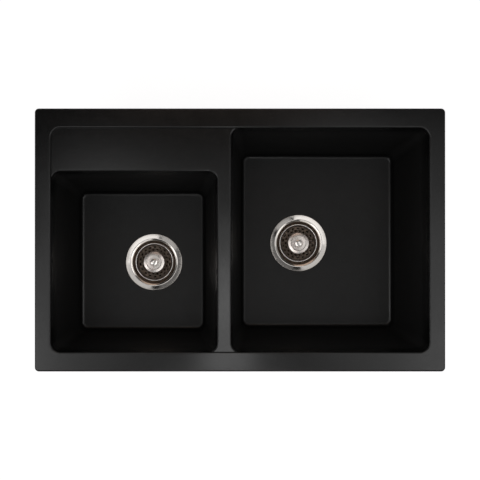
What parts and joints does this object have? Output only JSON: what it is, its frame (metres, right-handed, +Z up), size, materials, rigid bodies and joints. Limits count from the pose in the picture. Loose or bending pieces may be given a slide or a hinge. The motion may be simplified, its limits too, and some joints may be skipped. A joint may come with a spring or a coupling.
{
  "type": "double bowl kitchen sink",
  "caption": "Inset double bowl kitchen sink in dark granite composite, with a tap ledge, basket strainers in its drains and clips under its rim.",
  "frame": {"origin": "the middle of the worktop cut-out, at the height of the worktop's top face, which is the plane of the rim's underside", "axes": "+X along the sink's length towards the large bowl, +Y towards the wall and the tap ledge, +Z up out of the bowls"},
  "size_m": [0.78, 0.5, 0.278],
  "materials": {
    "granite_composite": "matt moulded granite and resin with a fine grain",
    "foam_tape": "closed-cell foam",
    "brass_insert": "turned",
    "zinc_plated_screw": "zinc plated",
    "zinc_plated_sheet": "zinc plated pressed sheet",
    "polished_steel": "mirror polished stainless",
    "satin_steel": "satin stainless",
    "basket_steel": "pressed and perforated stainless",
    "knob_steel": "satin spun stainless",
    "spring_steel": "spring steel",
    "sealing_foam": "soft sealing ring",
    "black_rubber": "moulded rubber",
    "black_plastic": "injection moulded"
  },
  "bodies": {
    "sink": {"sink_body": "granite_composite", "rim_seal": "foam_tape", "clip_insert_1": "brass_insert", "clip_insert_2": "brass_insert", "clip_insert_3": "brass_insert", "clip_insert_4": "brass_insert", "clip_insert_5": "brass_insert", "clip_insert_6": "brass_insert", "clip_insert_7": "brass_insert", "clip_insert_8": "brass_insert", "drain_cup_left": "polished_steel", "drain_outlet_left": "satin_steel", "cross_bar_left": "satin_steel", "flange_gasket_left": "sealing_foam", "under_gasket_left": "black_rubber", "support_cup_left": "satin_steel", "cup_locknut_left": "black_plastic", "drain_cup_right": "polished_steel", "drain_outlet_right": "satin_steel", "cross_bar_right": "satin_steel", "flange_gasket_right": "sealing_foam", "under_gasket_right": "black_rubber", "support_cup_right": "satin_steel", "cup_locknut_right": "black_plastic"},
    "left_basket": {"basket_left": "basket_steel", "basket_stopper_left": "black_rubber", "stopper_washer_left": "satin_steel", "basket_post_left": "satin_steel", "basket_knob_left": "knob_steel", "knob_screw_left": "polished_steel", "detent_clip_left": "spring_steel"},
    "right_basket": {"basket_right": "basket_steel", "basket_stopper_right": "black_rubber", "stopper_washer_right": "satin_steel", "basket_post_right": "satin_steel", "basket_knob_right": "knob_steel", "knob_screw_right": "polished_steel", "detent_clip_right": "spring_steel"},
    "clip_1_screw": {"clip_screw_1": "zinc_plated_screw"},
    "clip_1_arm": {"clip_arm_1": "zinc_plated_sheet"},
    "clip_2_screw": {"clip_screw_2": "zinc_plated_screw"},
    "clip_2_arm": {"clip_arm_2": "zinc_plated_sheet"},
    "clip_3_screw": {"clip_screw_3": "zinc_plated_screw"},
    "clip_3_arm": {"clip_arm_3": "zinc_plated_sheet"},
    "clip_4_screw": {"clip_screw_4": "zinc_plated_screw"},
    "clip_4_arm": {"clip_arm_4": "zinc_plated_sheet"},
    "clip_5_screw": {"clip_screw_5": "zinc_plated_screw"},
    "clip_5_arm": {"clip_arm_5": "zinc_plated_sheet"},
    "clip_6_screw": {"clip_screw_6": "zinc_plated_screw"},
    "clip_6_arm": {"clip_arm_6": "zinc_plated_sheet"},
    "clip_7_screw": {"clip_screw_7": "zinc_plated_screw"},
    "clip_7_arm": {"clip_arm_7": "zinc_plated_sheet"},
    "clip_8_screw": {"clip_screw_8": "zinc_plated_screw"},
    "clip_8_arm": {"clip_arm_8": "zinc_plated_sheet"}
  },
  "joints": [
    {"name": "left_basket_lift", "type": "slide", "parent": "sink", "child": "left_basket", "axis": [0, 0, 1], "range_m": [0, 0.062]},
    {"name": "right_basket_lift", "type": "slide", "parent": "sink", "child": "right_basket", "axis": [0, 0, 1], "range_m": [0, 0.062]},
    {"name": "clip_1_tighten", "type": "slide", "parent": "sink", "child": "clip_1_screw", "axis": [0, 0, 1], "range_m": [0, 0.01]},
    {"name": "clip_1_swing", "type": "hinge", "parent": "clip_1_screw", "child": "clip_1_arm", "pos_m": [-0.27, -0.2255, -0.048], "axis": [0, 0, -1], "range_deg": [0, 90]},
    {"name": "clip_2_tighten", "type": "slide", "parent": "sink", "child": "clip_2_screw", "axis": [0, 0, 1], "range_m": [0, 0.01]},
    {"name": "clip_2_swing", "type": "hinge", "parent": "clip_2_screw", "child": "clip_2_arm", "pos_m": [0, -0.2255, -0.048], "axis": [0, 0, -1], "range_deg": [0, 90]},
    {"name": "clip_3_tighten", "type": "slide", "parent": "sink", "child": "clip_3_screw", "axis": [0, 0, 1], "range_m": [0, 0.01]},
    {"name": "clip_3_swing", "type": "hinge", "parent": "clip_3_screw", "child": "clip_3_arm", "pos_m": [0.27, -0.2255, -0.048], "axis": [0, 0, -1], "range_deg": [0, 90]},
    {"name": "clip_4_tighten", "type": "slide", "parent": "sink", "child": "clip_4_screw", "axis": [0, 0, 1], "range_m": [0, 0.01]},
    {"name": "clip_4_swing", "type": "hinge", "parent": "clip_4_screw", "child": "clip_4_arm", "pos_m": [0.372, 0, -0.048], "axis": [0, 0, -1], "range_deg": [0, 90]},
    {"name": "clip_5_tighten", "type": "slide", "parent": "sink", "child": "clip_5_screw", "axis": [0, 0, 1], "range_m": [0, 0.01]},
    {"name": "clip_5_swing", "type": "hinge", "parent": "clip_5_screw", "child": "clip_5_arm", "pos_m": [0.27, 0.2255, -0.048], "axis": [0, 0, -1], "range_deg": [0, 90]},
    {"name": "clip_6_tighten", "type": "slide", "parent": "sink", "child": "clip_6_screw", "axis": [0, 0, 1], "range_m": [0, 0.01]},
    {"name": "clip_6_swing", "type": "hinge", "parent": "clip_6_screw", "child": "clip_6_arm", "pos_m": [0, 0.2255, -0.048], "axis": [0, 0, -1], "range_deg": [0, 90]},
    {"name": "clip_7_tighten", "type": "slide", "parent": "sink", "child": "clip_7_screw", "axis": [0, 0, 1], "range_m": [0, 0.01]},
    {"name": "clip_7_swing", "type": "hinge", "parent": "clip_7_screw", "child": "clip_7_arm", "pos_m": [-0.27, 0.2255, -0.048], "axis": [0, 0, -1], "range_deg": [0, 90]},
    {"name": "clip_8_tighten", "type": "slide", "parent": "sink", "child": "clip_8_screw", "axis": [0, 0, 1], "range_m": [0, 0.01]},
    {"name": "clip_8_swing", "type": "hinge", "parent": "clip_8_screw", "child": "clip_8_arm", "pos_m": [-0.372, 0, -0.048], "axis": [0, 0, -1], "range_deg": [0, 90]}
  ]
}
